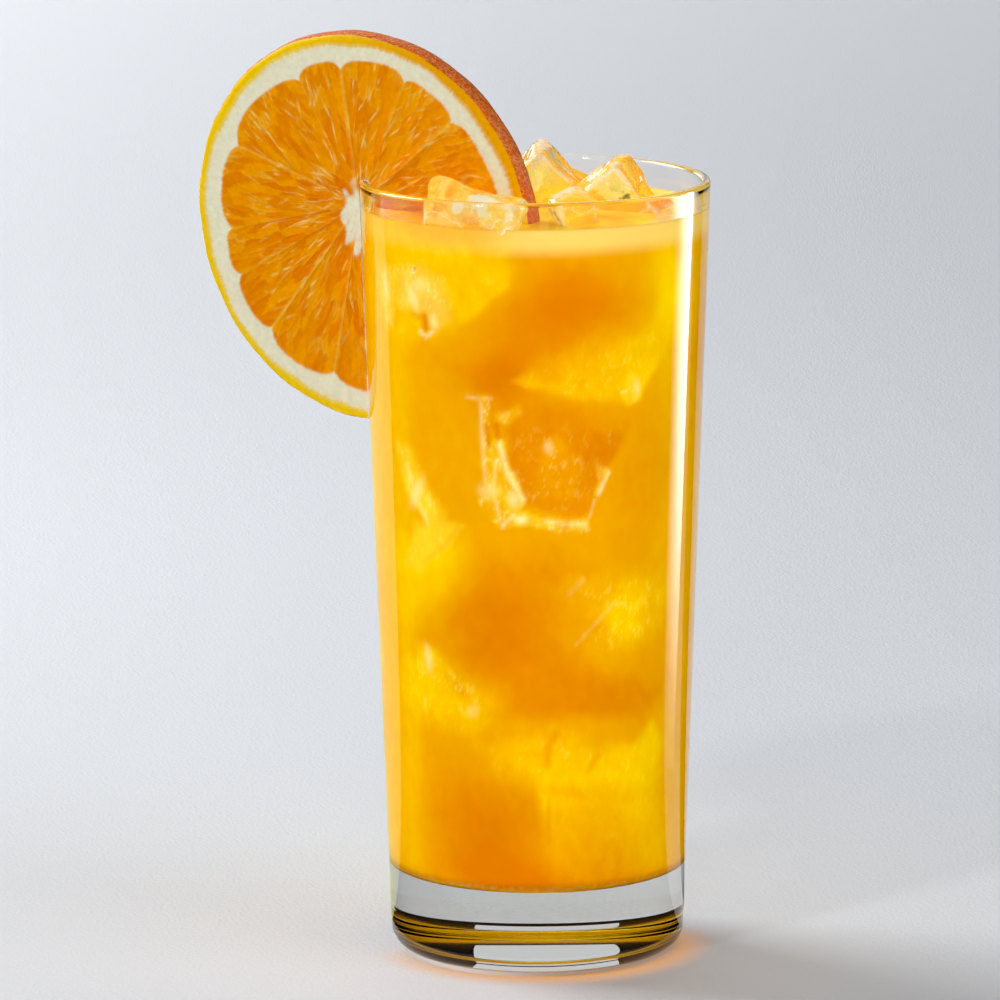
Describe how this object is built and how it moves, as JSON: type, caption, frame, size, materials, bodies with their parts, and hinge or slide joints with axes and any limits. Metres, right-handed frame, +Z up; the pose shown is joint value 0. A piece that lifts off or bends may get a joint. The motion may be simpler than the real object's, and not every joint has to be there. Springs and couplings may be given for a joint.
{
  "type": "iced orange drink in a glass",
  "caption": "Clear straight tapered glass filled with a cloudy orange drink, with ice standing out of its surface and an orange wheel slotted on the rim.",
  "frame": {"origin": "centre of the glass's flat underside", "axes": "+Z up along the axis of the glass, -Y towards the picture's viewer, -X towards the orange wheel"},
  "size_m": [0.1028, 0.07, 0.1864],
  "materials": {
    "glass": "clear polished glass",
    "drink": "cloudy orange drink",
    "orange": "wet orange flesh, white pith and orange peel",
    "ice": "clear melting ice"
  },
  "bodies": {
    "root": {"glass": "glass", "drink": "drink", "orange_slice": "orange", "ice_back": "ice", "ice_right": "ice", "ice_front": "ice", "ice_middle": "ice"}
  },
  "joints": []
}
